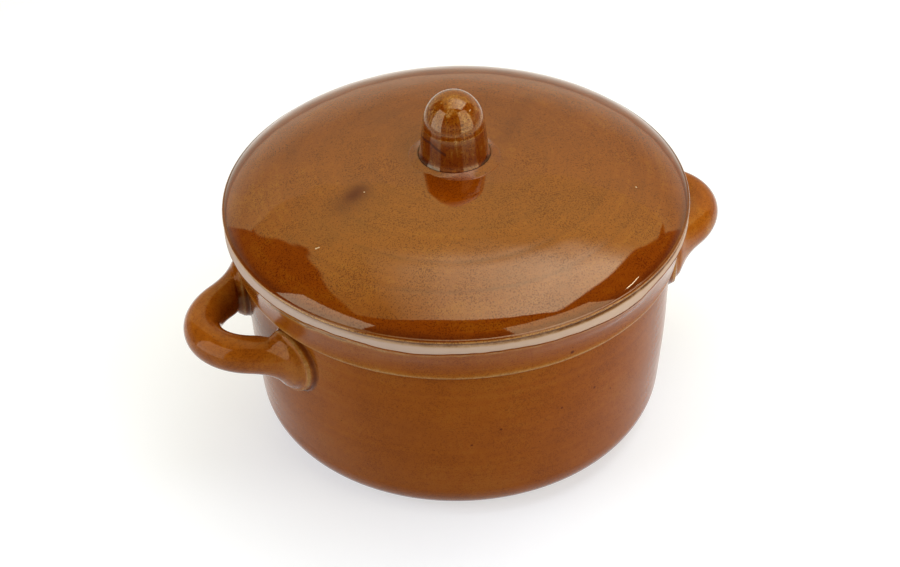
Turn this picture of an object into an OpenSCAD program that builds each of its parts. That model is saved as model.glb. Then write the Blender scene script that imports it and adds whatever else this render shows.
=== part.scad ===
// Covered cooking pot of glazed stoneware, in millimetres, +Z up.
// The origin is the centre of the foot, on the surface that the pot stands on.
// The two loop handles lie along X. The lid lies on the rim and lifts straight up.

/* [Pot] */
// Outside diameter of the rim
rim_d = 208.6; // [180:0.2:240]
// Height from the foot to the rim
pot_h = 108.5; // [95:0.5:140]
// Thickness of the wall
wall_t = 6.5; // [5:0.5:8]
// Thickness of the floor
floor_t = 7; // [5:0.5:10]
// How much the wall draws in from the collar down to the foot, on the radius
wall_taper = 3.8; // [0:0.1:5]
// Radius of the round corner between the foot and the wall
corner_r = 18; // [14:0.5:24]
// Width of the flat ring that the pot stands on
foot_ring_w = 12; // [8:0.5:16]
// Depth of the turned hollow inside the foot ring
foot_hollow = 1.2; // [0.6:0.1:2]

/* [Collar and rim] */
// Height of the thick collar, from its lower bead to the rim
collar_h = 23; // [18:0.5:28]
// How far the lower bead of the collar stands out from the wall
collar_step = 3.6; // [3.5:0.1:6]
// How much further the rim stands out than the bead
collar_flare = 4.2; // [2:0.1:6]
// Radius of the collar's lower bead
bead_r = 2; // [1:0.1:2.2]
// Radius of the crease below the bead
crease_r = 1.2; // [0.6:0.1:1.3]
// Height of the bare clay band under the rim
bare_h = 4.3; // [3:0.1:6]
// Thickness of the glaze, where it ends at the bare band
glaze_t = 0.3; // [0.2:0.1:0.5]
// Width of the flat rim that carries the lid
rim_t = 8; // [7:0.5:9.5]
// Radius of the worn edges of the rim
rim_edge = 0.8; // [0.4:0.1:1.2]

/* [Lid] */
// How far the lid's edge stands out past the rim
lid_overhang = 0.3; // [0.3:0.1:2]
// Height of the dome above the rim
lid_rise = 24.5; // [18:0.5:32]
// Thickness of the dome at its middle
lid_t = 6.5; // [5:0.5:8]
// Radius of the lid's lower edge
lid_edge = 0.6; // [0.5:0.1:1.5]
// How far the locating flange reaches into the pot
flange_h = 7.5; // [5:0.5:10]
// Thickness of the flange
flange_t = 7; // [5:0.5:8]
// Clearance between the flange and the inside of the rim
flange_gap = 1.5; // [1:0.1:2.5]
// Radius of the flange's edges
flange_edge = 1.4; // [0.8:0.1:2]

/* [Knob] */
// Diameter of the knob's shank under its round cap
knob_d = 29; // [24:0.5:34]
// Height of the knob above the lid
knob_h = 32; // [27:0.5:40]
// Height of the round cap
cap_h = 16; // [12:0.5:20]
// How far the cap is set in from the shank
cap_step = 0.5; // [0.3:0.1:1]
// How much wider the shank is near its foot, on the radius
knob_flare = 1.8; // [1:0.1:3]
// How much further the clay spreads at the very foot
knob_toe = 0.8; // [0.3:0.1:1.5]
// Depth of the waist between cap and foot
knob_waist = 0.3; // [0:0.1:1]
// Width of the slip ring at the foot of the knob
slip_w = 4.5; // [2:0.5:6]
// Height of the slip ring
slip_h = 1.2; // [0.8:0.1:2.5]

/* [Handles] */
// How far a handle stands out from the wall
handle_reach = 34; // [30:1:44]
// Width over a handle's loop
handle_w = 65.5; // [58:0.5:84]
// Thickness of the handle's coil, seen from above
coil_w = 17; // [14:0.5:19]
// Thickness of the handle's coil, upwards
coil_h = 17; // [14:0.5:20]
// Width of the lobe pressed on the wall at each end of the coil
lobe_w = 26.5; // [22:0.5:30]
// Height of that lobe
lobe_h = 30; // [24:1:34]
// How far the lobe lies outside the coil's own line
lobe_out = 6; // [3:0.5:8]
// Radius of the lobe's underside, where it rolls in to the wall
lobe_edge = 2; // [1:0.5:3]
// Wall left bare between the lobe and the collar
lobe_gap = 1; // [1:0.5:6]
// How far the coil lies above the middle of its lobe
coil_lift = 1.3; // [0:0.1:3]

/* [Hidden] */
$fn = 120;

// Clearance between a handle's pressed lobe and the round wall
luting_gap = 0.05;
// The coil's line starts this far inside the wall's surface
root_sink = 1.5;

rim_r = rim_d / 2;
wall_r = rim_r - collar_flare - collar_step;
collar_z = pot_h - collar_h;
bare_z = pot_h - bare_h;
inner_corner_r = corner_r - wall_t;
// How late the wall draws in on its way down: 1 is a straight wall, 2 a bowed one
wall_bow_share = 2;
// The bowed wall's lean where it meets the round corner
corner_lean = atan(wall_bow_share * wall_taper / (collar_z - corner_r));
gallery_r = rim_r - rim_t;
gallery_h = flange_h + flange_gap;

lid_r = rim_r + lid_overhang;
dome_h = lid_rise - lid_edge;
flange_r = gallery_r - flange_gap;
hollow_r = flange_r - flange_t;
hollow_h = lid_rise - lid_t + flange_h;
lid_top = pot_h + lid_rise;

shank_r = knob_d / 2;
cap_r = shank_r - cap_step;
knob_foot_r = shank_r + knob_flare + knob_toe;
shank_h = knob_h - cap_h;
// How low on the shank the clay begins to spread
toe_power_share = 8;
slip_r = knob_foot_r + slip_w;

// Shape of the lid: height share = (1 - radius share ^ swell) ^ fall
outer_swell_share = 2.8;
outer_fall_share = 0.72;
hollow_swell_share = 4.5;
hollow_fall_share = 0.6;
// How late the collar's face turns outwards on its way up
flare_power_share = 1.7;

// The handle's lobe sits below the collar, and the coil runs level from it
lobe_z = collar_z - lobe_gap - lobe_h / 2;
coil_z = lobe_z + coil_lift;
coil_y = (handle_w - coil_w) / 2;
coil_x = sqrt(pow(wall_at(coil_z), 2) - pow(coil_y, 2)) - root_sink;
coil_reach = wall_r + handle_reach - coil_w / 2 - coil_x;
// Angle round the loop at which the lobe has become a plain coil
root_turn = 32;
// How far off the wall the lobe's side stands while it draws in to the coil
root_rise = 6.5;
// How much of the lobe's size is left there
root_share = 0.8;
// How far the coil keeps its own direction on its way into the lobe, at the loop's
// outer side and at its inner side
outer_pull = 17.5;
inner_pull = 8;
// Rings on the lobe's back, as shares of its size
lobe_back_shares = [0.35, 0.7];

corner_steps = 12;
wall_steps = 8;
edge_steps = 4;
bead_steps = 8;
face_steps = 8;
dome_steps = 24;
shank_steps = 12;
cap_steps = 16;
ring_sides = 24;
root_steps = 8;
coil_steps = 8;

// Points on a round stretch, from one angle to the other
function arc(centre, r, from, to, steps) =
    [for (i = [0:steps]) let (a = from + (to - from) * i / steps) centre + r * [cos(a), sin(a)]];

function mix(a, b, t) = a + (b - a) * t;

// Outline of a dome from its middle to its edge, closer points near the edge
function dome(r, base, h, swell, fall, first_share = 0) =
    [for (i = [0:dome_steps])
        let (a = mix(asin(first_share), 90, i / dome_steps), s = sin(a))
            [r * s, base + h * pow(max(1 - pow(s, swell), 0), fall)]];

function reversed(points) = [for (i = [len(points) - 1:-1:0]) points[i]];

// The wall's outside radius at a height between the corner and the collar
function wall_at(z) =
    wall_r - wall_taper * pow(max(collar_z - z, 0) / (collar_z - corner_r), wall_bow_share);

// A bowed wall above its round corner, from the flat below the corner up to a height.
// It lies inside the outer surface by the given thickness, on a floor at the given height.
function wall_line(thickness, floor_z, r, top) =
    let (end_z = floor_z + r * (1 - sin(corner_lean)),
         centre_x = wall_at(end_z) - thickness - r * cos(corner_lean))
    concat(
        arc([centre_x, floor_z + r], r, -90, -corner_lean, corner_steps),
        [for (i = [1:wall_steps]) let (z = mix(end_z, top, i / wall_steps)) [wall_at(z) - thickness, z]]);

// The pot: foot, round corner, drawn-in wall, collar with bead, bare band and rim,
// then the gallery for the lid's flange and the inside down to the floor
module pot_profile() {
    bead_x = wall_r + collar_step - bead_r;
    bead_top = collar_z + bead_r;
    ledge_z = pot_h - gallery_h;
    inner_r = wall_r - wall_t;
    ledge_foot_z = ledge_z - (gallery_r - inner_r);
    outside = wall_line(0, 0, corner_r, collar_z - crease_r);
    ring_r = outside[0][0] - foot_ring_w;
    polygon(concat(
        [[0, foot_hollow], [ring_r - foot_hollow, foot_hollow], [ring_r, 0]],
        outside,
        reversed(arc([wall_r + crease_r, collar_z - crease_r], crease_r, 90, 175, edge_steps)),
        arc([bead_x, bead_top], bead_r, -90, 0, bead_steps),
        [for (i = [1:face_steps]) let (t = i / face_steps)
            [bead_x + bead_r + (collar_flare + glaze_t) * pow(t, flare_power_share),
             mix(bead_top, bare_z, t)]],
        [[rim_r, bare_z]],
        arc([rim_r - rim_edge, pot_h - rim_edge], rim_edge, 0, 90, edge_steps),
        arc([gallery_r + rim_edge, pot_h - rim_edge], rim_edge, 90, 180, edge_steps),
        [[gallery_r, ledge_z]],
        reversed(wall_line(wall_t, floor_t, inner_corner_r, ledge_foot_z)),
        [[0, floor_t]]));
}

module pot_body() {
    color([0.52, 0.3, 0.12])
        rotate_extrude()
            pot_profile();
}

// The lid: a shallow dome of even thickness that falls steeply at its shoulder,
// a flat seat on the rim, and a flange that keeps it from sliding off.
// A flat spot at the top takes the knob and its slip ring.
module lid_profile() {
    dome_base = pot_h + lid_edge;
    flange_z = pot_h - flange_h;
    polygon(concat(
        dome(hollow_r, flange_z, hollow_h, hollow_swell_share, hollow_fall_share),
        arc([hollow_r + flange_edge, flange_z + flange_edge], flange_edge, 180, 270, edge_steps),
        arc([flange_r - flange_edge, flange_z + flange_edge], flange_edge, -90, 0, edge_steps),
        [[flange_r, pot_h]],
        arc([lid_r - lid_edge, dome_base], lid_edge, -90, 0, edge_steps),
        reversed(dome(lid_r, dome_base, dome_h, outer_swell_share, outer_fall_share, slip_r / lid_r)),
        [[slip_r, lid_top], [0, lid_top]]));
}

module lid() {
    color([0.6, 0.36, 0.12])
        rotate_extrude()
            lid_profile();
}

// The knob: a round cap, set in a little, on a shank with a slight waist that widens
// to its foot and spreads where it meets the lid
module knob_profile() {
    polygon(concat(
        [[0, 0]],
        [for (i = [0:shank_steps]) let (t = pow(i / shank_steps, 2))
            [mix(shank_r + knob_flare, shank_r, t) - knob_waist * sin(180 * t)
                + knob_toe * pow(1 - t, toe_power_share), shank_h * t]],
        [for (i = [0:cap_steps]) let (a = 90 * i / cap_steps)
            [cap_r * cos(a), shank_h + cap_h * sin(a)]]));
}

module lid_knob() {
    color([0.55, 0.31, 0.1])
        translate([0, 0, lid_top])
            rotate_extrude()
                knob_profile();
}

// Slip pressed into the corner between knob and lid: a rounded bead, cut to the
// knob's own outline
module knob_slip_ring() {
    color([0.62, 0.5, 0.38])
        translate([0, 0, lid_top])
            rotate_extrude()
                difference() {
                    polygon(concat(
                        [[cap_r, 0]],
                        [for (i = [0:edge_steps]) let (a = 90 * i / edge_steps)
                            [knob_foot_r + slip_w * cos(a), slip_h * sin(a)]],
                        [[cap_r, slip_h]]));
                    knob_profile();
                }
}

// A handle is one coil of clay. Its rings run from the lobe on the wall at +Y round
// the loop to its mirror image at -Y. This is one point of a ring that lies along the
// round wall, off its surface; v goes round the ring.
function lobe_point(v, share, inset, off) =
    let (y = coil_y + lobe_out + (share * lobe_w / 2 - inset) * cos(v),
         z = lobe_z + (share * lobe_h / 2 - inset) * sin(v),
         r = wall_at(z) + luting_gap + off)
    [sqrt(r * r - y * y), y, z];

// Direction of the coil's line, which is half an ellipse, at an angle round the loop
function coil_along(turn) =
    let (along = [coil_reach * cos(turn), -coil_y * sin(turn), 0]) along / norm(along);

// A point of a ring that stands square to the coil's line
function coil_point(v, turn) =
    let (along = coil_along(turn), side = coil_w / 2 * cos(v))
    [coil_x + coil_reach * sin(turn) - side * along[1],
     coil_y * cos(turn) + side * along[0],
     coil_z + coil_h / 2 * sin(v)];

// A smooth curve from a to d, which leaves towards b and arrives from c
function bend(a, b, c, d, t) =
    pow(1 - t, 3) * a + 3 * pow(1 - t, 2) * t * b + 3 * (1 - t) * t * t * c + pow(t, 3) * d;

// A point of the stretch on which the lobe's side is drawn up into the coil
function root_point(v, t) =
    let (end = coil_point(v, root_turn), pull = mix(inner_pull, outer_pull, (1 + cos(v)) / 2))
    bend(lobe_point(v, 1, 0, lobe_edge), lobe_point(v, root_share, 0, lobe_edge + root_rise),
         end - pull * coil_along(root_turn), end, t);

ring_angles = [for (j = [0:ring_sides - 1]) 360 * j / ring_sides];

// Half a handle: the lobe's back on the wall, its underside rolling out to its edge,
// its side drawn up into the coil, and the coil out to the middle of the loop
half_handle = concat(
    [for (share = lobe_back_shares) [for (v = ring_angles) lobe_point(v, share, 0, 0)]],
    [for (i = [0:edge_steps]) let (a = 90 * i / edge_steps)
        [for (v = ring_angles) lobe_point(v, 1, lobe_edge * (1 - sin(a)), lobe_edge * (1 - cos(a)))]],
    [for (i = [1:root_steps]) [for (v = ring_angles) root_point(v, i / root_steps)]],
    [for (i = [1:coil_steps])
        [for (v = ring_angles) coil_point(v, mix(root_turn, 90, i / coil_steps))]]);

function mirrored(ring) = [for (p = ring) [p[0], -p[1], p[2]]];

module handle() {
    half = len(half_handle);
    rings = concat(half_handle, [for (i = [half - 2:-1:0]) mirrored(half_handle[i])]);
    middle = lobe_point(0, 0, 0, 0);
    points = concat([middle], [for (ring = rings) each ring], mirrored([middle]));
    last = len(points) - 1;
    top = 1 + (len(rings) - 1) * ring_sides;
    faces = concat(
        [for (j = [0:ring_sides - 1]) [0, 1 + (j + 1) % ring_sides, 1 + j]],
        [for (i = [0:len(rings) - 2]) for (j = [0:ring_sides - 1])
            let (a = 1 + i * ring_sides + j, b = 1 + i * ring_sides + (j + 1) % ring_sides)
            each [[a, b, b + ring_sides], [a, b + ring_sides, a + ring_sides]]],
        [for (j = [0:ring_sides - 1]) [last, top + j, top + (j + 1) % ring_sides]]);
    polyhedron(points, faces);
}

module right_handle() {
    color([0.5, 0.28, 0.1])
        handle();
}

module left_handle() {
    color([0.5, 0.28, 0.1])
        rotate([0, 0, 180])
            handle();
}

pot_body();
left_handle();
right_handle();
lid();
knob_slip_ring();
lid_knob();
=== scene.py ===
import bpy
import math
import numpy as np
from mathutils import Matrix, Vector


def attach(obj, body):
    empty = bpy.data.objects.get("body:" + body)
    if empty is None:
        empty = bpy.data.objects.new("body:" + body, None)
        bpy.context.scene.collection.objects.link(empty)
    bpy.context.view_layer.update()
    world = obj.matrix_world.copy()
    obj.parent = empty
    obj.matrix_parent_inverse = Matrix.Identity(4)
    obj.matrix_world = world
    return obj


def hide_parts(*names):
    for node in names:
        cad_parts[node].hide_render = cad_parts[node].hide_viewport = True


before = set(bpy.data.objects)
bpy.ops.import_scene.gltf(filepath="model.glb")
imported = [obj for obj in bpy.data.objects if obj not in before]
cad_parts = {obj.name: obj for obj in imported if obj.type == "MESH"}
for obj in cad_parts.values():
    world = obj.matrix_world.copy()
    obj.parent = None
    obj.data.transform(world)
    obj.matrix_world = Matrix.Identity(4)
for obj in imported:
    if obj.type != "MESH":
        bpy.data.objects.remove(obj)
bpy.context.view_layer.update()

# ---------------------------------------------------------------------------
# The pot. Thrown stoneware with a thick collar, dipped upside down in an iron
# glaze, so the glaze ends in an uneven line and the rim's band stays bare clay.
# The surface is one turned line, carried round in steps that shift with the angle.
# ---------------------------------------------------------------------------
# sizes in mm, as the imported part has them
RIM_R, WALL_R, POT_H = 104.3, 96.5, 108.5
COLLAR_Z, CREASE_R, BEAD_R, BEAD_X = 85.5, 1.2, 2.0, 98.1
CORNER_R, TAPER, WALL_T, FLOOR_T = 18.0, 3.8, 6.5, 7.0
GALLERY_R, LEDGE_Z, EDGE_R = 96.3, 99.5, 0.8
FOOT_RING_W, FOOT_RISE, COLLAR_FLARE = 12, 1.2, 4.2
LEDGE_IN_R, LEDGE_IN_Z, INNER_TOP = 90.6, 93.7, 92.7
GLAZE_LINE, GLAZE_PROUD = 104, 0.3
POT_COLUMNS = 400


def ease(x, low, high):
    """0 below low, 1 above high, and a smooth cubic between them."""
    t = np.clip((x - low) / (high - low), 0, 1)
    return t * t * (3 - 2 * t)


def bell(x, centre, width):
    """1 at the centre, falling to both sides: e to the minus square of the distance in widths."""
    return np.exp(-((x - centre) / width) ** 2)


def bell_round(spin, centre, width):
    """The same bell over an angle, with the centre and the width in degrees."""
    return bell((np.degrees(spin) - centre + 180) % 360 - 180, 0, width)


def arc(x, z, r, start, end, steps):
    """Points on a circle of radius r round (x, z), from one angle to another in degrees."""
    a = np.radians(np.linspace(start, end, steps + 1))
    return np.stack([x + r * np.cos(a), z + r * np.sin(a)], 1)


def straight(x0, z0, x1, z1, steps):
    """Evenly spaced points on a line, without its two ends."""
    t = np.linspace(0, 1, steps + 1)[1:-1, None]
    return np.array([[x0, z0]]) * (1 - t) + np.array([[x1, z1]]) * t


def wall_at(z):
    """Outside radius of the bowed wall: the full radius less the taper times the square of
    the share of the way down."""
    return WALL_R - TAPER * (np.maximum(COLLAR_Z - z, 0) / (COLLAR_Z - CORNER_R)) ** 2


def spun(line, columns):
    """A turned line of radius and height, repeated for every column round the axis."""
    return (np.repeat(line[:, k][:, None], columns, 1) for k in (0, 1))


def skin_of(name, points, faces, **kept):
    """An object at the origin with a smooth mesh of these points, in metres, and faces. Each
    value in kept is stored per point as an attribute of that name."""
    mesh = bpy.data.meshes.new(name)
    mesh.from_pydata(points.tolist(), [], faces)
    mesh.shade_smooth()
    for label, values in kept.items():
        stored = mesh.attributes.new(label, "FLOAT", "POINT").data
        stored.foreach_set("value", values.astype(np.float32))
    piece = bpy.data.objects.new(name, mesh)
    bpy.context.scene.collection.objects.link(piece)
    return piece


def tube_faces(rows, cols):
    """Faces of a closed tube of rows of points, after two end points: quads between the rows,
    and a fan of triangles from each end point to the row next to it."""
    first = 2 + np.arange(cols)
    after = np.roll(first, -1)
    step = np.arange(rows - 1)[:, None] * cols
    corners = [first + step, after + step, after + step + cols, first + step + cols]
    last = (rows - 1) * cols
    fans = np.vstack([np.stack([0 * first, after, first], 1),
                      np.stack([0 * first + 1, first + last, after + last], 1)])
    return np.stack(corners, 2).reshape(-1, 4).tolist() + fans.tolist()


def turned(name, radius, height, glaze, bloom=None):
    """Mesh of a turned piece from grids of radius and height in mm, with rows along the
    line and columns round the axis. The first and last rows are single points on the axis.
    Each grid point stands at (radius cos a, radius sin a, height). glaze and bloom, which is
    a dark matt cloud in the glaze, are kept per point."""
    rows, cols = radius.shape
    a = np.linspace(0, 2 * np.pi, cols, endpoint=False)
    grid = np.stack([radius * np.cos(a), radius * np.sin(a), height], 2)
    ends = np.array([[0, 0, height[0].mean()], [0, 0, height[-1].mean()]])
    points = np.vstack([ends, grid[1:-1].reshape(-1, 3)]) / 1000
    kept = {label: np.concatenate([[part[0].mean(), part[-1].mean()], part[1:-1].ravel()])
            for label, part in (("glaze", glaze), ("bloom", bloom)) if part is not None}
    return skin_of(name, points, tube_faces(rows - 2, cols), **kept)


def link(tree, kind, values=None, **settings):
    """One shader node with its settings. A value is a number, a colour or a node's output."""
    made = tree.nodes.new(kind)
    for key, value in settings.items():
        setattr(made, key, value)
    for key, value in (values or {}).items():
        if isinstance(value, bpy.types.NodeSocket):
            tree.links.new(value, made.inputs[key])
        else:
            made.inputs[key].default_value = value
    return made


def sums(tree, operation, a, b, clamp=False):
    """The output of one Math node."""
    values = {0: a, 1: b}
    return link(tree, "ShaderNodeMath", values, operation=operation, use_clamp=clamp).outputs[0]


def iron_glaze(name, stops, rings, gloss=0.05, ior=1.5, level=0.5, warmth=(1, 0.72, 0.4),
               pepper=0.6, mottle=0.22, bump=0.3, streak=7, blots=(), flecks=()):
    """Glossy iron glaze over clay. The attribute glaze is how thick the glaze lies: 0 is bare
    clay, 0.2 a thin tan edge, 0.5 the honey brown of the body and 1 a dark pool. Clouds, fine
    grain and throwing rings shift it before the colour is looked up in stops. Fine iron pepper
    and a few larger specks go on top. rings is how often the throwing rings come per metre of
    radius and of height, streak how often they change along x and y, and warmth is the colour
    that the glaze gives to what it mirrors. blots are dark iron spots and flecks pale ones,
    each a place and a radius in mm."""
    material = bpy.data.materials.new(name)
    material.use_nodes = True
    tree = material.node_tree
    shader = tree.nodes["Principled BSDF"]
    place = link(tree, "ShaderNodeTexCoord").outputs["Object"]

    # short names for the sum, difference, product and larger of two values, for a noise, and
    # for one colour laid over another by its share
    def plus(a, b, clamp=False):
        return sums(tree, "ADD", a, b, clamp)

    def minus(a, b):
        return sums(tree, "SUBTRACT", a, b)

    def times(a, b, clamp=False):
        return sums(tree, "MULTIPLY", a, b, clamp)

    def most(a, b):
        return sums(tree, "MAXIMUM", a, b)

    def noise(scale, detail, roughness=0.5, vector=place):
        values = {"Vector": vector, "Scale": scale, "Detail": detail, "Roughness": roughness}
        return link(tree, "ShaderNodeTexNoise", values).outputs["Fac"]

    def painted(share, under, over):
        mixed = link(tree, "ShaderNodeMix", {0: share, 6: under, 7: (*over, 1)}, data_type="RGBA")
        return mixed.outputs[2]

    # how thick the glaze lies, with clouds, grain and the rings that throwing leaves
    layer = link(tree, "ShaderNodeAttribute", attribute_name="glaze").outputs["Fac"]
    bloom = link(tree, "ShaderNodeAttribute", attribute_name="bloom").outputs["Fac"]
    clouds, grain = noise(26, 5, 0.6), noise(330, 4, 0.65)
    apart = link(tree, "ShaderNodeSeparateXYZ", {0: place}).outputs
    flat = link(tree, "ShaderNodeCombineXYZ", {"X": apart["X"], "Y": apart["Y"]}).outputs[0]
    radius = link(tree, "ShaderNodeVectorMath", {0: flat}, operation="LENGTH").outputs["Value"]
    wheel = link(tree, "ShaderNodeCombineXYZ", {
        "X": times(apart["X"], streak), "Y": times(apart["Y"], streak),
        "Z": plus(times(radius, rings[0]), times(apart["Z"], rings[1]))}).outputs[0]
    lines = noise(1, 3, 0.6, wheel)
    shift = times(minus(clouds, 0.5), mottle * 1.6)
    for part in (grain, lines):
        shift = plus(shift, times(minus(part, 0.5), mottle))
    covered = times(layer, 6, True)
    depth = plus(layer, times(shift, covered), True)
    ramp = link(tree, "ShaderNodeValToRGB", {"Fac": depth})
    band = ramp.color_ramp
    for end in (0, -1):
        band.elements[end].position, band.elements[end].color = stops[end][0], (*stops[end][1], 1)
    for position, colour in stops[1:-1]:
        band.elements.new(position).color = (*colour, 1)

    # iron pepper: drifts of dust, then three sizes of specks with a share of the cells left empty
    dust = plus(noise(1500, 2, 0.6), times(noise(70, 3), 0.25))
    marks = times(times(minus(dust, 0.63), 7, True), pepper)
    for scale, empty, size, strength in (
            (1150, 0.6, 0.24, pepper), (380, 0.86, 0.15, 0.9), (150, 0.94, 0.08, 0.85)):
        cell = link(tree, "ShaderNodeTexVoronoi", {"Vector": place, "Scale": scale}).outputs
        chance = link(tree, "ShaderNodeSeparateColor", {0: cell["Color"]}).outputs
        picked = sums(tree, "GREATER_THAN", chance[0], empty)
        reach = times(plus(chance[1], 0.35), size)
        spot = times(minus(reach, cell["Distance"]), 9, True)
        marks = most(marks, times(times(spot, picked), strength))
    marks = times(marks, covered)

    # single spots with a ragged edge
    pale = 0.0
    for x, y, z, r, dark in [(*b, True) for b in blots] + [(*f, False) for f in flecks]:
        middle = (x / 1000, y / 1000, z / 1000)
        away = link(tree, "ShaderNodeVectorMath", {0: place, 1: middle}, operation="DISTANCE")
        ragged = plus(away.outputs["Value"], times(minus(grain, 0.5), r / 2500))
        spot = times(minus(r / 1000, ragged), 2500 / r, True)
        if dark:
            marks = most(marks, times(spot, 0.85))
        else:
            pale = most(spot, pale)

    colour = painted(marks, ramp.outputs["Color"], (0.075, 0.008, 0.0003))
    colour = painted(bloom, colour, (0.075, 0.015, 0.006))
    colour = painted(pale, colour, (0.46, 0.31, 0.18))
    bare = {"Value": covered, "To Min": 0.78, "To Max": gloss}
    rough = link(tree, "ShaderNodeMapRange", bare).outputs[0]
    rough = plus(rough, times(minus(grain, 0.5), 0.04), True)
    rough = plus(rough, times(bloom, 0.25), True)
    # iron specks mirror less than the glaze round them, and blooms mirror little
    dull = most(times(marks, 0.4), times(bloom, 0.8))
    skin = plus(times(grain, 0.35), times(marks, 0.1))
    skin = plus(skin, times(lines, 0.5))
    skin = plus(skin, times(noise(1400, 3), minus(1.0, covered)))
    relief = {"Height": skin, "Distance": 0.00012, "Strength": bump}
    for label, output in (
            ("Base Color", colour), ("Roughness", rough),
            ("Normal", link(tree, "ShaderNodeBump", relief).outputs[0]),
            ("Specular IOR Level", times(minus(1.0, dull), level))):
        tree.links.new(output, shader.inputs[label])
    shader.inputs["IOR"].default_value = ior
    shader.inputs["Specular Tint"].default_value = (*warmth, 1)
    return material


def pot_line():
    """The turned line from the middle of the underside out over the foot, the wall, the
    crease, bead, collar and rim, and down inside to the middle of the floor."""
    lean = math.degrees(math.atan(2 * TAPER / (COLLAR_Z - CORNER_R)))
    lean_sin, lean_cos = math.sin(math.radians(lean)), math.cos(math.radians(lean))
    low = CORNER_R * (1 - lean_sin)
    foot_x = float(wall_at(low)) - CORNER_R * lean_cos
    ring = foot_x - FOOT_RING_W
    up = np.linspace(low, COLLAR_Z - CREASE_R, 66)[1:]
    bend = CORNER_R - WALL_T
    bend_top = FLOOR_T + bend * (1 - lean_sin)
    step = float(wall_at(bend_top)) - WALL_T - bend * lean_cos
    down = np.linspace(INNER_TOP, bend_top, 26)[1:]
    # heights up the collar's face, close together where the glaze ends
    glaze_end = GLAZE_LINE + np.array([
        -1.9, -1.5, -1.2, -0.9, -0.65, -0.45, -0.3, -0.2, -0.1, 0,
        0.1, 0.2, 0.35, 0.6, 1.0, 1.6, 2.2, 2.9, 3.5])
    collar = np.concatenate([np.linspace(88.2, 101.6, 16), glaze_end])
    face = BEAD_X + BEAD_R + COLLAR_FLARE * np.clip((collar - 87.5) / 17, 0, 1) ** 1.7
    return np.vstack([
        [[0, FOOT_RISE]], straight(0, FOOT_RISE, ring - 1.5, FOOT_RISE, 8),
        arc(ring - 1.9, 0.6, 0.6, 90, 45, 3), arc(ring - 0.4, 0.5, 0.5, 225, 270, 3),
        straight(ring, 0, foot_x, 0, 6), arc(foot_x, CORNER_R, CORNER_R, -90, -lean, 26),
        np.stack([wall_at(up), up], 1)[:-1],
        arc(WALL_R + CREASE_R, COLLAR_Z - CREASE_R, CREASE_R, 175, 90, 9),
        arc(BEAD_X, COLLAR_Z + BEAD_R, BEAD_R, -90, 0, 12),
        np.stack([face, collar], 1),
        arc(RIM_R - EDGE_R, POT_H - EDGE_R, EDGE_R, 0, 90, 6),
        straight(RIM_R - EDGE_R, POT_H, GALLERY_R + EDGE_R, POT_H, 6),
        arc(GALLERY_R + EDGE_R, POT_H - EDGE_R, EDGE_R, 90, 180, 6),
        straight(GALLERY_R, POT_H - EDGE_R, GALLERY_R, LEDGE_Z, 7),
        arc(GALLERY_R - EDGE_R, LEDGE_Z + 0.35, EDGE_R, 0, -45, 4),
        straight(GALLERY_R - 0.6, LEDGE_Z - 0.3, LEDGE_IN_R, LEDGE_IN_Z, 8),
        np.stack([wall_at(down) - WALL_T, down], 1),
        arc(step, FLOOR_T + bend, bend, -lean, -90, 12)[1:],
        straight(step, FLOOR_T, 0, FLOOR_T, 12), [[0, FLOOR_T]]])


line = pot_line()
spin = np.linspace(0, 2 * np.pi, POT_COLUMNS, endpoint=False)
pot_r, pot_z = spun(line, POT_COLUMNS)
outer_end = int(np.argmax(line[:, 1] > POT_H - 0.01))
outside = (np.arange(len(line)) < outer_end)[:, None]
# the glaze line's height at angles in degrees round the rim, smoothed, and its small waver
line_angles = [-180, -170, -160, -145, -135, -129, -120, -110, -103, -89,
               -80, -74, -66, -60, -53, -45, 0, 45, 90, 135]
line_heights = [102.4, 103.5, 103.9, 104.9, 104.5, 103.4, 103.3, 103.9, 104.0, 103.4,
                103.1, 102.4, 102.2, 103.7, 104.5, 103.5, 104.1, 103.1, 104.3, 103.3]
edge = np.interp(np.degrees(spin) % 360, np.array(line_angles) % 360, line_heights, period=360)
blur = bell(np.fft.fftfreq(POT_COLUMNS, 1 / POT_COLUMNS), 0, 42)
edge = np.real(np.fft.ifft(np.fft.fft(edge) * blur))
edge = edge + 0.1 * np.sin(31 * spin + 2 * np.sin(5 * spin))
edge = edge + 0.07 * np.sin(67 * spin + 3 * np.sin(7 * spin))
window = ease(pot_z, 95, 101) * (1 - ease(pot_z, 105.0, 107.8)) * outside
pot_z = pot_z + (edge - GLAZE_LINE) * window
above = pot_z - edge
# the glaze stands proud of the bare clay
coat = GLAZE_PROUD * (1 - ease(above, -0.35, 0.02)) * ease(pot_z, 87.5, 100)
pot_r = pot_r + coat * outside
# throwing rings, and a slow unevenness of the hand
swell = 0.014 * np.sin(2 * np.pi * pot_z / 6.1 + spin + 1.2 * np.sin(2 * spin))
swell = swell + 0.007 * np.sin(2 * np.pi * pot_z / 3.3 + 2 * spin)
swell = swell + 0.05 * np.sin(2 * np.pi * pot_z / 31 + 2 * spin)
swell = swell + 0.05 * np.sin(3 * spin + pot_z / 14)
pot_r = pot_r + swell * outside * ease(pot_z, 8, 20) * (1 - ease(pot_z, 78, 84))
in_wall = ~outside & (pot_z < 92) & (pot_r > 20)
pot_r = pot_r + in_wall * 0.12 * np.sin(2 * np.pi * pot_z / 7.7 + spin)
# how thick the glaze lies: thin on the bead, pooled in the crease under it
thick = np.full(pot_r.shape, 0.5)
thick = thick - 0.27 * bell(pot_z, 86.3, 2.0) * outside * (pot_r > 98.2)
thick = thick + 0.3 * bell(pot_z, 84.6, 0.8) * outside * (pot_r < 98.2)
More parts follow.
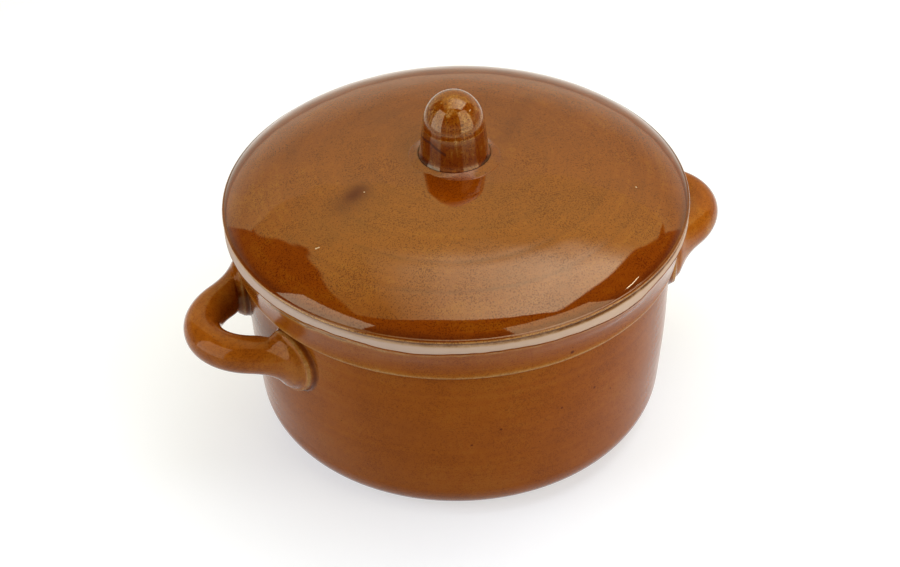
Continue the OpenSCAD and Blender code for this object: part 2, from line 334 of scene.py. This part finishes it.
# a dark thread at the glaze's edge, and a thin tan band of thin glaze under it, made wider and
# paler on the left as a painted highlight
painted_highlight_left = bell_round(spin, 205, 28)
ragged = 0.05 * np.sin(23 * spin + 3 * np.sin(7 * spin))
ragged = ragged + 0.05 * np.sin(57 * spin + 2 * np.sin(11 * spin))
band = bell(above, -1.2 - 1.0 * painted_highlight_left, 0.55 + 1.3 * painted_highlight_left)
band = (0.19 + ragged + 0.2 * painted_highlight_left) * band
thread = (0.28 + 2 * ragged) * bell(above, -0.2, 0.26)
thick = np.where(outside & (pot_z > 90), thick - band + thread, thick)
# the bare clay over the line, with a painted shadow of the lid's overhang darkening its top,
# except on the left
painted_lid_shadow = 0.1 * (1 - ease(POT_H - pot_z, 0.35, 1.9 + 2 * ragged)) * (1 - bell_round(spin, 190, 48))
over_line = thick * (1 - ease(above, -0.12, 0.03)) + painted_lid_shadow * (above > 0)
thick = np.where(outside & (pot_z > 100), over_line, thick)
# the rim and the gallery are bare, and so is the foot
thick = np.where(~outside, 0.52 * (1 - ease(pot_z, 91.5, 92.5)), thick)
foot_line = pot_z + 0.3 * np.sin(5 * spin) + 0.15 * np.sin(23 * spin)
thick = np.where(outside & (pot_z < 2.2), 0.5 * ease(foot_line, 0.8, 1.6), thick)
pot = turned("pot_body_glazed", pot_r, pot_z, thick)

HONEY = [(0.0, (0.575, 0.42, 0.315)), (0.05, (0.50, 0.31, 0.17)), (0.1, (0.17, 0.062, 0.018)),
         (0.22, (0.42, 0.205, 0.055)), (0.36, (0.335, 0.105, 0.009)),
         (0.5, (0.285, 0.070, 0.0035)), (0.72, (0.18, 0.036, 0.002)),
         (1.0, (0.035, 0.008, 0.001))]
# iron spots: the angle in degrees, the height and the radius of each, one of them on the
# collar, whose face is 100.2 mm out there, and four on the wall
COLLAR_SPOT_R = 100.2
SPOTS = ((-84.1, 90.1, 1.1), (-75.2, 60.1, 0.8), (-85.5, 56.6, 0.7),
         (-102.4, 52.8, 0.8), (-110.1, 44.9, 0.7))
blots = []
for angle, z, r in SPOTS:
    out = wall_at(z) if z < COLLAR_Z else COLLAR_SPOT_R
    blots.append((out * math.cos(math.radians(angle)), out * math.sin(math.radians(angle)), z, r))
pot.data.materials.append(iron_glaze(
    "honey_glaze_on_the_pot", HONEY, (0, 420), gloss=0.16, ior=1.24, level=0.5,
    warmth=(1, 0.6, 0.2), pepper=0.4, mottle=0.17, blots=blots))
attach(pot, "pot")
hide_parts("pot_body")

# ---------------------------------------------------------------------------
# The two handles. Each is a pulled coil of clay whose ends were pressed on the
# wall with a thumb, which leaves a domed lobe and a notch above it. The rings of
# points run from one lobe round the loop to the other, and close on the wall.
# ---------------------------------------------------------------------------
COIL_W, COIL_H, LOBE_W, LOBE_H, LOBE_EDGE = 17.0, 17.0, 26.5, 30.0, 2.0
LOBE_Z, COIL_Z, COIL_Y, LOBE_OUT = 69.5, 70.8, 24.25, 6.0
HANDLE_REACH, ROOT_SINK, LUTING_GAP, FILLET = 34, 1.5, 0.05, 1.0
ROOT_TURN, ROOT_RISE, ROOT_SHARE, OUTER_PULL, INNER_PULL = 32.0, 6.5, 0.8, 17.5, 8.0
COIL_X = math.sqrt(float(wall_at(COIL_Z)) ** 2 - COIL_Y ** 2) - ROOT_SINK
COIL_REACH = WALL_R + HANDLE_REACH - COIL_W / 2 - COIL_X


def lobe_ring(v, share, inset, off):
    """A ring on the round wall, at a distance off it: an oval of the lobe's width and height,
    made smaller by inset, whose points are set on the wall's own radius at their height."""
    y = COIL_Y + LOBE_OUT + (share * LOBE_W / 2 - inset) * np.cos(v)
    z = LOBE_Z + (share * LOBE_H / 2 - inset) * np.sin(v)
    r = wall_at(z) + LUTING_GAP + off
    return np.stack(np.broadcast_arrays(np.sqrt(r * r - y * y), y, z), -1)


def coil_along(turn):
    """Direction of the coil's line, which is half an ellipse seen from above, where it has
    turned by that many degrees."""
    t = np.radians(turn)
    along = np.stack([COIL_REACH * np.cos(t), -COIL_Y * np.sin(t), 0 * t], -1)
    return along / np.linalg.norm(along, axis=-1, keepdims=True)


def coil_ring(v, turn):
    """An oval ring square to the coil's line at that angle round the loop."""
    t = np.radians(turn)
    along = coil_along(turn)
    side = COIL_W / 2 * np.cos(v)
    return np.stack(np.broadcast_arrays(
        COIL_X + COIL_REACH * np.sin(t) - side * along[..., 1],
        COIL_Y * np.cos(t) + side * along[..., 0], COIL_Z + COIL_H / 2 * np.sin(v)), -1)


def root_rings(v, t):
    """The lobe's side drawn up into the coil: each point runs on a cubic curve with four control
    points, from the lobe's edge over a smaller oval off the wall, then in line with the coil."""
    pull = (INNER_PULL + (OUTER_PULL - INNER_PULL) * (1 + np.cos(v)) / 2)[..., None]
    turn = np.array([[ROOT_TURN]])
    end = coil_ring(v, turn)
    start = lobe_ring(v, 1, 0, LOBE_EDGE)
    off_wall = lobe_ring(v, ROOT_SHARE, 0, LOBE_EDGE + ROOT_RISE)
    t = t[..., None]
    return ((1 - t) ** 3 * start + 3 * (1 - t) ** 2 * t * off_wall
            + 3 * (1 - t) * t * t * (end - pull * coil_along(turn)) + t ** 3 * end)


def mirrored(half):
    """The rows of half a handle, then the same rows backwards without the middle one."""
    return np.concatenate([half, half[-2::-1]])


def handle(name, side):
    """Grid of rings: three small ones behind the lobe, a hollow fillet where glaze fills the
    corner between wall and lobe, the root, then the coil to the middle of the loop, and the
    mirror image."""
    v = np.linspace(0, 2 * np.pi, 96, endpoint=False)[None, :]
    back = lobe_ring(v, np.array([[0.3], [0.6], [0.78]]), 0, 0)
    a = np.radians(np.linspace(0, 90, 9))[:, None]
    under = lobe_ring(v, 1, -FILLET * (1 - np.sin(a)), LOBE_EDGE * (1 - np.cos(a)))
    steps = (np.linspace(0, 1, 45) ** 1.4)[1:, None]
    # a raised lip round the pad, and a shallow press behind it, most on the side away from
    # the loop
    pad = 0.55 * bell(steps, 0.05, 0.035) - 0.7 * bell(steps, 0.17, 0.075)
    pad = pad * (0.35 + 0.65 * ease(np.cos(v), -0.6, 0.4))
    root = root_rings(v, steps) + pad[..., None] * np.array([0.95, 0.3, 0])
    loop = coil_ring(v, np.linspace(ROOT_TURN, 90, 35)[1:, None])
    half = np.concatenate([back, under, root, loop])
    flip = np.array([1, -1, 1])
    rings = np.concatenate([half, half[-2::-1] * flip])
    middle = lobe_ring(np.zeros((1, 1)), 0, 0, 0)
    points = np.concatenate([middle[0], (middle * flip)[0], rings.reshape(-1, 3)])
    points = points * np.array([side, side, 1]) / 1000
    # the glaze pools and turns matt in the corner at the wall, darkened there also as painted
    # shade, and runs thin over the pad's lip
    depth = np.full(half.shape[:2], 0.5)
    depth[:10] = np.array([0.5, 0.5, 0.5, 0.52, 0.58, 0.64, 0.7, 0.74, 0.74, 0.68])[:, None]
    depth[10:24] = np.array([0.6, 0.48, 0.38, 0.32, 0.3, 0.3, 0.32,
                             0.36, 0.4, 0.44, 0.46, 0.48, 0.49, 0.5])[:, None]
    matt = np.zeros(half.shape[:2])
    matt[3:13] = np.array([0.05, 0.1, 0.2, 0.3, 0.4, 0.45, 0.4, 0.25, 0.1, 0.05])[:, None]
    return skin_of(name, points, tube_faces(*rings.shape[:2]),
                   glaze=np.concatenate([[1, 1], mirrored(depth).ravel()]),
                   bloom=np.concatenate([[0, 0], mirrored(matt).ravel()]))


handle_glaze = iron_glaze("honey_glaze_on_the_handles", HONEY, (60, 60), ior=1.33, level=0.6,
                          warmth=(1, 0.68, 0.35), pepper=0.4, mottle=0.38)
for node, side in (("right_handle", 1), ("left_handle", -1)):
    loop_piece = handle(node + "_glazed", side)
    loop_piece.data.materials.append(handle_glaze)
    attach(loop_piece, "pot")
    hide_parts(node)

# ---------------------------------------------------------------------------
# The lid. A thrown dome that falls steeply at its shoulder, glazed on top and in
# the hollow, and bare on its seat and flange. The glaze runs thin and tan over its
# lower edge and lies thicker, redder and full of iron just above it.
# ---------------------------------------------------------------------------
LID_R, LID_EDGE, LID_RISE, LID_TOP, LIP_R = 104.6, 0.6, 24.5, 133.0, 1.15
FLANGE_R, FLANGE_Z, HOLLOW_R, HOLLOW_RISE = 94.8, 101.0, 87.8, 25.5
FLANGE_TOE, SLIP_R = 1.4, 21.6
# two low turning ridges: their radii, and the width of each
RIDGES = ((70.5, 1.4), (85.0, 1.1))


def dome_height(r, full, base, rise, swell, fall):
    """Height of a dome: base plus rise times (1 less the radius share to the power swell), to
    the power fall."""
    return base + rise * np.maximum(1 - (r / full) ** swell, 0) ** fall


turn_in = np.concatenate([
    np.linspace(math.asin(SLIP_R / LID_R), 1.3, 64), np.linspace(1.3, 1.425, 16)[1:]])
top_r = LID_R * np.sin(turn_in)
top_z = dome_height(top_r, LID_R, POT_H + LID_EDGE, LID_RISE - LID_EDGE, 2.8, 0.72)
hollow_r = HOLLOW_R * np.sin(np.linspace(math.pi / 2, 0, 34))
hollow_z = dome_height(
    hollow_r, HOLLOW_R, FLANGE_Z + FLANGE_TOE, HOLLOW_RISE - FLANGE_TOE, 4.5, 0.6)
lid_line = np.vstack([
    [[0, LID_TOP]], straight(0, LID_TOP, SLIP_R - 0.4, LID_TOP, 6), np.stack([top_r, top_z], 1),
    arc(LID_R - LIP_R, POT_H + 1.25, LIP_R, 72, -90, 22),
    straight(LID_R - 1.3, POT_H, FLANGE_R + 0.5, POT_H, 6),
    arc(FLANGE_R + 0.5, POT_H - 0.5, 0.5, 90, 180, 4),
    arc(FLANGE_R - FLANGE_TOE, FLANGE_Z + FLANGE_TOE, FLANGE_TOE, 0, -90, 6),
    arc(HOLLOW_R + FLANGE_TOE, FLANGE_Z + FLANGE_TOE, FLANGE_TOE, -90, -180, 6)[:-1],
    np.stack([hollow_r, hollow_z], 1)])
lid_r, lid_z = spun(lid_line, POT_COLUMNS)
top_side = np.arange(len(lid_line))[:, None] < 6 + len(turn_in) + 21
# the hand's unevenness: rings, a slow twist, and low waves that run across
wave = 0.018 * np.sin(2 * np.pi * lid_r / 21 + spin + 0.8 * np.sin(3 * spin + 1))
wave = wave + 0.006 * np.sin(2 * np.pi * lid_r / 8.5 + 2 * spin)
wave = wave + 0.10 * np.sin(2 * spin + 0.6) * (lid_r / LID_R) ** 2
wave = wave + 0.03 * np.sin(5 * spin + lid_r / 11)
for length, way, start in ((24, 0.4, 1.1), (19, 1.7, 0.2), (15, 2.6, 2.3), (12, 0.9, 4.1)):
    across = lid_r * np.cos(spin - way)
    wave = wave + 0.0007 * length * np.sin(2 * np.pi * across / length + start)
# the ridges lie across the front, and their line wavers by 0.8 mm
front = (0.5 + 0.5 * np.cos(spin - math.radians(-104))) ** 3
waver = 0.8 * np.sin(2 * spin)
for ridge, width in RIDGES:
    wave = wave - 0.06 * bell(lid_r, ridge + waver, width) * front
lid_z = lid_z + wave * top_side * ease(lid_r, 24, 34) * (1 - ease(lid_r, 99, 104))
# how thick the glaze lies, by the height over the seat
height = lid_z - POT_H
thick = 0.48 - 0.03 * bell(height, 9, 6) + 0.2 * bell(height, 3.0, 1.4)
for ridge, width in RIDGES:
    thick = thick + 0.13 * bell(lid_r, ridge + waver, 0.8) * front
# the lip is tan, and palest on the left as a painted highlight, where its dark contact line, a
# painted shadow, also fades
painted_highlight_side = bell_round(spin, 182, 46)
lip = 1 - ease(height, 1.6, 2.2)
thick = thick * (1 - lip) + (0.24 - 0.17 * painted_highlight_side ** 2) * lip
shadow = (1 - ease(height, 0.6, 1.15)) * (1 - painted_highlight_side)
thick = np.where(top_side, thick * (1 - shadow) + 0.9 * shadow, 0.5)
seat = ~top_side & (lid_z < POT_H + 0.05) & (lid_r > HOLLOW_R - 0.5)
thick = np.where(seat, 0.0, thick)
# soft dark blooms left of the knob and a faint darker streak behind it, each a bell round a short
# line: the line's two ends, its width and its strength
BLOOMS = [(-47.2, -4.6, -51.5, -6.8, 4.2, 0.5), (-49.5, -7.5, -57.5, -10.5, 7.0, 0.42),
          (25, 1, 51, 32, 4.0, 0.3)]
FLECKS = [(-76.7, -27.3, 123.7, 0.5), (-76.1, -27.4, 123.9, 0.4), (-75.5, -27.6, 124.1, 0.45),
          (-46.1, -7.5, 131.1, 0.45), (67.2, -45.5, 123.8, 0.5)]
lid_x, lid_y = lid_r * np.cos(spin), lid_r * np.sin(spin)
bloom = 0
for x0, y0, x1, y1, width, strength in BLOOMS:
    t = ((lid_x - x0) * (x1 - x0) + (lid_y - y0) * (y1 - y0)) / ((x1 - x0) ** 2 + (y1 - y0) ** 2)
    t = np.clip(t, 0, 1)
    away = np.hypot(lid_x - x0 - t * (x1 - x0), lid_y - y0 - t * (y1 - y0))
    bloom = bloom + strength * bell(away, 0, width) * top_side
lid = turned("lid_glazed", lid_r[::-1], lid_z[::-1], thick[::-1], bloom[::-1])
AMBER = [(0.0, (0.70, 0.51, 0.34)), (0.05, (0.50, 0.31, 0.17)), (0.1, (0.42, 0.21, 0.07)),
         (0.22, (0.36, 0.16, 0.035)), (0.33, (0.235, 0.064, 0.002)),
         (0.46, (0.185, 0.034, 0.0004)), (0.7, (0.10, 0.016, 0.001)),
         (1.0, (0.045, 0.009, 0.0006))]
lid.data.materials.append(iron_glaze(
    "amber_glaze_on_the_lid", AMBER, (300, 0), gloss=0.03, ior=1.65, level=0.52,
    warmth=(1, 0.78, 0.42), pepper=0.75, mottle=0.2, bump=0.1, flecks=FLECKS))
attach(lid, "cover")
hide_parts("lid")

# ---------------------------------------------------------------------------
# The slip ring. Wet clay pressed into the corner between the knob and the lid
# and smoothed round with a finger, so its width and height vary a little.
# ---------------------------------------------------------------------------
RING_COLUMNS, RING_IN, RING_UNDER = 200, 16.3, 15.6
ring_spin = np.linspace(0, 2 * np.pi, RING_COLUMNS, endpoint=False)
# how far the slip reaches past the knob's foot, at angles round it in degrees
reach = np.interp(np.degrees(ring_spin), [0, 60, 120, 157, 195, 212, 247, 275, 315, 340],
                  [2.4, 2.0, 2.4, 3.2, 2.6, 1.7, 2.8, 4.2, 3.9, 2.8], period=360)
out = np.linspace(0, 1, 16)[:, None]
slip_r = RING_IN + out * (0.9 + reach)
slip_z = LID_TOP - 0.12 + (1.25 + 0.08 * np.sin(3 * ring_spin)) * (1 - out) ** 1.3
ring_r = np.concatenate([slip_r, np.stack([slip_r[-1], slip_r[-1] * 0 + RING_UNDER])])[::-1]
ring_z = np.concatenate([slip_z, np.full((2, RING_COLUMNS), LID_TOP - 0.2)])[::-1]
rows = len(ring_r)
grid = np.stack([ring_r * np.cos(ring_spin), ring_r * np.sin(ring_spin), ring_z], 2)
first = np.arange(RING_COLUMNS)
after = np.roll(first, -1)
low = (np.arange(rows) * RING_COLUMNS)[:, None]
high = np.roll(low, -1, axis=0)
faces = np.stack([first + low, after + low, after + high, first + high], 2).reshape(-1, 4)
shade = np.full((rows, RING_COLUMNS), 0.46)
# the inner edge against the knob's foot is darker: painted shade
shade[-2:] = np.array([[0.5], [0.7]])
slip = skin_of(
    "knob_slip_ring_glazed", grid.reshape(-1, 3) / 1000, faces.tolist(), glaze=shade.ravel())
slip.data.materials.append(iron_glaze(
    "glaze_on_the_slip_ring", AMBER, (300, 0), gloss=0.05, ior=1.65, level=0.52,
    warmth=(1, 0.75, 0.5), pepper=0.8))
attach(slip, "cover")
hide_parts("knob_slip_ring")

# ---------------------------------------------------------------------------
# The knob. A thrown stub with a round cap, a faint ring where the cap begins and
# a foot that spreads on the lid. A hairline crack, filled by dark glaze, runs
# slantwise down the shank.
# ---------------------------------------------------------------------------
CAP_R, SHANK_H, CAP_H, KNOB_COLUMNS = 13.85, 16.0, 16.0, 320
cap_a = np.radians(np.linspace(90, 0, 52))
t = np.linspace(1, 0, 72)[1:] ** 1.3
# the shank widens at once under the cap, then evenly, and spreads at its foot
shank_r = CAP_R + 0.95 * (1 - t ** 2.2) + 0.45 * (1 - t) + 1.5 * (1 - t) ** 9
knob_line = np.vstack([
    np.stack([CAP_R * np.cos(cap_a), LID_TOP + SHANK_H + CAP_H * np.sin(cap_a)], 1),
    np.stack([shank_r, LID_TOP + SHANK_H * t], 1),
    straight(shank_r[-1], LID_TOP, 0, LID_TOP, 5), [[0, LID_TOP]]])
knob_line[0, 0] = 0
knob_spin = np.linspace(0, 2 * np.pi, KNOB_COLUMNS, endpoint=False)
knob_r, knob_z = spun(knob_line, KNOB_COLUMNS)
up = knob_z - LID_TOP
# the glaze pools round the foot, deepest to the left and to the right front
around = np.degrees(knob_spin)
pool = 1.5 + 3.2 * bell(around, 188, 24) + 2.4 * bell(around, 312, 13)
thick = 0.38 - 0.12 * bell(up, SHANK_H, 0.3) + 0.6 * (1 - ease(up, 0.45 * pool, pool))
# the crack's height at angles round the knob in degrees
crack = np.interp(around, [158.3, 199.7, 213, 232], [11.6, 13.0, 11.6, 9.2], left=-9, right=-9)
crack_line = bell(up, crack, 0.4) * (crack > 0)
thick = thick + 2 * crack_line
matt = 0.3 * ease(SHANK_H - up, 0, 1.5) * ease(up, 1.5, 4) + 0.9 * (1 - ease(up, 0.4, 0.9))
matt = np.maximum(matt, 0.9 * crack_line)
knob = turned("lid_knob_glazed", knob_r[::-1], knob_z[::-1], thick[::-1], matt[::-1])
knob.data.materials.append(iron_glaze(
    "amber_glaze_on_the_knob", AMBER, (0, 90), gloss=0.03, ior=1.65, level=0.52,
    warmth=(1, 0.78, 0.42), pepper=0.85, mottle=0.5, bump=0.12, streak=800))
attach(knob, "cover")
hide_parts("lid_knob")

# ---------------------------------------------------------------------------
# The floor, the soft lamps and the camera. A plain white floor carries the shadow.
# A wide softbox hangs over the lid, two stand in front to the left and right, and
# a dim screen stands behind. The sky is pale at the horizon and dark above it.
# ---------------------------------------------------------------------------
FLOOR_HALF, FLOOR_DROP = 20, -0.0004
CAMERA_TURN = math.radians(-22.6)  # the camera's side of the object, from the part's own front
SCRIM_W, SCRIM_D, SCRIM_X, SCRIM_Y = 2.6, 1.37, 0.1, 0.365
BACKDROP_W, BACKDROP_H = 2.98, 1.0

floor_mesh = bpy.data.meshes.new("floor")
corners = [(FLOOR_HALF * x, FLOOR_HALF * y, FLOOR_DROP)
           for x, y in ((-1, -1), (1, -1), (1, 1), (-1, 1))]
floor_mesh.from_pydata(corners, [], [(0, 1, 2, 3)])
floor = bpy.data.objects.new("floor", floor_mesh)
bpy.context.scene.collection.objects.link(floor)
paint = bpy.data.materials.new("white_floor")
paint.use_nodes = True
net = paint.node_tree
ground = net.nodes["Principled BSDF"]
for label, value in (("Base Color", (0.5, 0.5, 0.5, 1)), ("Roughness", 0.9),
                     ("Specular IOR Level", 0.1), ("Emission Color", (1, 1, 1, 1))):
    ground.inputs[label].default_value = value
# the eye and what mirrors the floor see it white, less so from 0.42 m out
path = link(net, "ShaderNodeLightPath").outputs
seen = sums(net, "ADD", path["Is Glossy Ray"], path["Is Transmission Ray"])
seen = sums(net, "ADD", path["Is Camera Ray"], seen, True)
place = link(net, "ShaderNodeTexCoord").outputs["Object"]
far = link(net, "ShaderNodeVectorMath", {0: place}, operation="LENGTH").outputs["Value"]
glow = link(net, "ShaderNodeMapRange", {
    "Value": far, "From Min": 0.42, "From Max": 0.8, "To Min": 0.54, "To Max": 0.22}).outputs[0]
net.links.new(sums(net, "MULTIPLY", seen, glow), ground.inputs["Emission Strength"])
floor.data.materials.append(paint)


def softbox(name, centre, target, width, height, radiance, colour=(1, 1, 1)):
    """A rectangular lamp at centre, turned towards target; both are given in metres with the
    camera in front, and are turned with the camera round the object. Its power is radiance times
    area times four."""
    about = Matrix.Rotation(CAMERA_TURN, 3, "Z")
    look = (Vector(target) - Vector(centre)).to_track_quat("-Z", "Y").to_matrix()
    lamp = bpy.data.lights.new(name, "AREA")
    lamp.shape, lamp.size, lamp.size_y = "RECTANGLE", width, height
    lamp.energy, lamp.color = radiance * width * height * 4, colour
    item = bpy.data.objects.new(name, lamp)
    item.location = about @ Vector(centre)
    item.rotation_euler = (about @ look).to_euler()
    bpy.context.scene.collection.objects.link(item)
    return item


def ramped(tree, value, low, high, to_low, to_high):
    """The output of a Map Range node that eases between two levels."""
    values = {"Value": value, "From Min": low, "From Max": high,
              "To Min": to_low, "To Max": to_high}
    return link(tree, "ShaderNodeMapRange", values, interpolation_type="SMOOTHSTEP").outputs[0]


def scaled(tree, vector, share):
    """A colour, or another node's colour, times a number."""
    return link(tree, "ShaderNodeVectorMath", {0: vector, 3: share}, operation="SCALE").outputs[0]


def across_lamp(tree, side):
    """Where on a lamp the light leaves it, from 0 to 1 along its X or Y side."""
    spot = link(tree, "ShaderNodeNewGeometry").outputs["Parametric"]
    return link(tree, "ShaderNodeSeparateXYZ", {0: spot}).outputs[side]


# the scrim over the lid: warm and even, with the cool bright patch of its lamp to the front
# right. east and north are metres from the point over the pot's middle
scrim = softbox("overhead_scrim", (SCRIM_X, SCRIM_Y, 1.0), (SCRIM_X, SCRIM_Y, 0),
                SCRIM_W, SCRIM_D, 1.0).data
scrim.use_nodes = True
net = scrim.node_tree
east = sums(net, "MULTIPLY", across_lamp(net, "X"), SCRIM_W)
east = sums(net, "ADD", east, SCRIM_X - SCRIM_W / 2)
north = sums(net, "MULTIPLY", across_lamp(net, "Y"), SCRIM_D)
north = sums(net, "ADD", north, SCRIM_Y - SCRIM_D / 2)
even = sums(net, "SUBTRACT", ramped(net, north, -0.32, 0.36, 0.72, 1.12),
            ramped(net, north, 0.55, 1.05, 0.0, 0.25))
even = sums(net, "MULTIPLY", even, ramped(net, east, -1.1, -0.1, 0.66, 1.0))
patch = link(net, "ShaderNodeMapRange", {
    "Value": east, "From Min": -0.33, "From Max": 0.33}).outputs[0]
patch = sums(net, "MULTIPLY", patch, ramped(net, north, 0.2, 0.52, 1, 0))
# its corners are cut off slantwise to the left and right
slant = sums(net, "ADD", north, sums(net, "MULTIPLY", east, 0.8))
left_cut = sums(net, "MAXIMUM", sums(net, "ADD", east, 0.6), slant)
steep = sums(net, "SUBTRACT", sums(net, "ADD", sums(net, "MULTIPLY", north, 0.45), 0.72), east)
slant = sums(net, "SUBTRACT", sums(net, "ADD", north, 0.2), sums(net, "MULTIPLY", east, 0.71))
right_cut = sums(net, "MAXIMUM", steep, slant)
cut = sums(net, "MULTIPLY", sums(net, "MINIMUM", left_cut, right_cut), 30, True)
warm, cool = scaled(net, (1.06, 0.97, 0.50), even), scaled(net, (2.1, 2.4, 3.2), patch)
both = link(net, "ShaderNodeVectorMath", {0: warm, 1: cool}, operation="ADD").outputs[0]
net.links.new(scaled(net, both, cut), net.nodes["Emission"].inputs["Color"])

# the backdrop behind, which grows brighter upwards
sweep = softbox("backdrop", (0.19, 1.05, 0.5), (0.19, 0, 0.5), BACKDROP_W, BACKDROP_H, 1.0,
                (1, 0.93, 0.55)).data
sweep.use_nodes = True
net = sweep.node_tree
level = link(net, "ShaderNodeMapRange", {
    "Value": across_lamp(net, "Y"), "To Min": 0.09, "To Max": 0.87}).outputs[0]
net.links.new(level, net.nodes["Emission"].inputs["Strength"])

# the two front softboxes, and a small bright tube whose streak shows on the lid's shoulder
softbox("front_left", (-0.685, -0.272, 0.44), (-0.149, 0.178, 0.44), 0.587, 0.88, 2.4,
        (0.76, 0.84, 1))
softbox("front_right", (0.61, -0.444, 0.543), (0.24, 0.15, 0.543), 0.72, 1.087, 1.8,
        (1, 0.98, 0.95))
softbox("small_bright", (0.94, -0.01, 0.66), (0, 0, 0.12), 0.15, 0.006, 45, (0.85, 0.93, 1))

world = bpy.data.worlds.new("studio")
bpy.context.scene.world = world
world.use_nodes = True
sky = world.node_tree
ray = link(sky, "ShaderNodeTexCoord").outputs["Generated"]
rise = link(sky, "ShaderNodeSeparateXYZ", {0: ray}).outputs["Z"]
level = link(sky, "ShaderNodeMapRange", {
    "Value": rise, "From Min": 0.05, "From Max": 0.35, "To Min": 0.6, "To Max": 0.06}).outputs[0]
sky.links.new(level, sky.nodes["Background"].inputs["Strength"])
sky.nodes["Background"].inputs["Color"].default_value = (1, 0.93, 0.82, 1)

# the camera looks down on the pot from the photograph's side, and is turned by its right, up
# and ahead directions
camera = bpy.data.objects.new("camera", bpy.data.cameras.new("camera"))
camera.data.lens, camera.data.sensor_width = 104, 36
camera.data.clip_start, camera.data.clip_end = 0.05, 100
right, up_axis = Vector((0.9173, -0.3974, -0.0233)), Vector((0.2604, 0.5550, 0.7900))
ahead = Vector((0.3009, 0.7308, -0.6127))
turned_view = Matrix((right, up_axis, -ahead)).transposed().to_4x4()
camera.matrix_world = Matrix.Translation((-0.3629, -0.8717, 0.7924)) @ turned_view
bpy.context.scene.collection.objects.link(camera)
bpy.context.scene.camera = camera
bpy.context.scene.view_settings.view_transform = "Standard"
